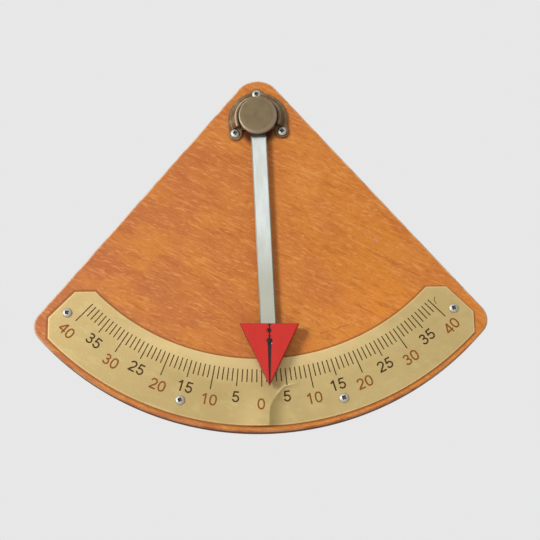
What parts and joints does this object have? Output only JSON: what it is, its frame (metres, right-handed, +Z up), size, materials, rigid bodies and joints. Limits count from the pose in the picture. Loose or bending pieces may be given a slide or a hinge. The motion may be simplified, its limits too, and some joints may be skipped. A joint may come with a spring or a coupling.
{
  "type": "clinometer",
  "caption": "Wall-hung pendulum clinometer: wooden sector board, curved angle scale and a free-swinging arm with a triangular pointer.",
  "frame": {"origin": "midway between the two keyhole openings, on the back face of the board", "axes": "+Z up the centre line of the board, -Y out of the dial, +X to the reader's right"},
  "size_m": [0.3578, 0.0291, 0.2916],
  "materials": {
    "varnished_wood": "satin varnish",
    "scale_metal": "satin",
    "screw_steel": "bright zinc",
    "bronze": "dull, aged",
    "steel": "machined",
    "arm_metal": "satin",
    "red_paint": "semi-gloss",
    "black_steel": "semi-gloss black"
  },
  "bodies": {
    "board": {"backboard": "varnished_wood", "scale_plate": "scale_metal", "scale_screws": "screw_steel", "pivot_housing": "bronze", "housing_screws": "screw_steel", "pivot_cap": "bronze", "spindle": "steel", "spindle_washer": "screw_steel", "spindle_nut": "screw_steel", "bearing_inner_ring": "steel", "hanger_plates": "screw_steel", "hanger_screws": "screw_steel"},
    "pendulum": {"bearing_balls": "steel", "bearing_cage": "bronze", "bearing_outer_ring": "steel", "bearing_shields": "steel", "bearing_clip": "steel", "hub": "bronze", "pendulum_arm": "arm_metal", "arm_screws": "screw_steel", "pointer": "red_paint", "index_needle": "black_steel", "pointer_screws": "black_steel", "pointer_nuts": "black_steel"}
  },
  "joints": [
    {"name": "pendulum_swing", "type": "hinge", "parent": "board", "child": "pendulum", "pos_m": [0, -0.0203, 0.062], "axis": [0, -1, 0], "range_deg": [-44, 40]}
  ]
}
